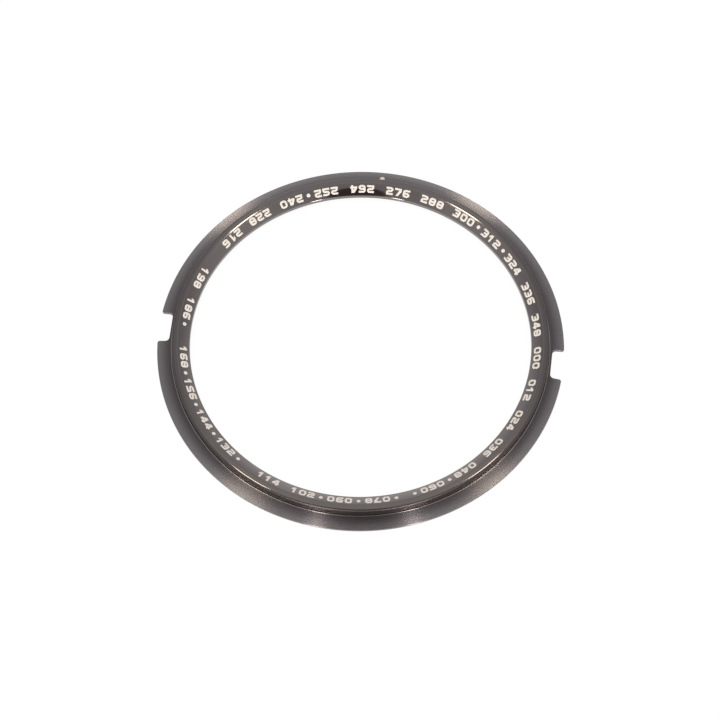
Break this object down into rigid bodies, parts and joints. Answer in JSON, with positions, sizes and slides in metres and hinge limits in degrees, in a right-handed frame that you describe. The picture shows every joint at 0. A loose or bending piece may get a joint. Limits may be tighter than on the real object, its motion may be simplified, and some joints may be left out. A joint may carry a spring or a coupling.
{
  "type": "watch bezel",
  "caption": "Round fixed watch bezel: a thin satin flange with U-shaped notches carries a polished scale ring whose sloping face bears lacquer figures and dots.",
  "frame": {"origin": "centre of the flange's flat underside, on the ring's axis", "axes": "+Z out of the watch's face, +Y to 12 o'clock (through a notch), +X to 3 o'clock"},
  "size_m": [0.042, 0.0418, 0.0016],
  "materials": {
    "satin_metal": "dark plated steel, satin with a circular hairline",
    "polished_metal": "dark plated steel, polished",
    "lacquer": "warm off-white lacquer, semi-matt"
  },
  "bodies": {
    "root": {"bezel_flange": "satin_metal", "scale_ring": "polished_metal", "index_dot": "lacquer", "step_dot_09": "lacquer", "step_dot_11": "lacquer", "step_dot_12": "lacquer", "step_dot_14": "lacquer", "step_dot_16": "lacquer", "step_dot_21": "lacquer", "step_dot_23": "lacquer", "step_dot_25": "lacquer", "step_dot_27": "lacquer", "step_dot_30": "lacquer", "step_dot_41": "lacquer", "step_dot_51": "lacquer", "step_dot_53": "lacquer"}
  },
  "joints": []
}
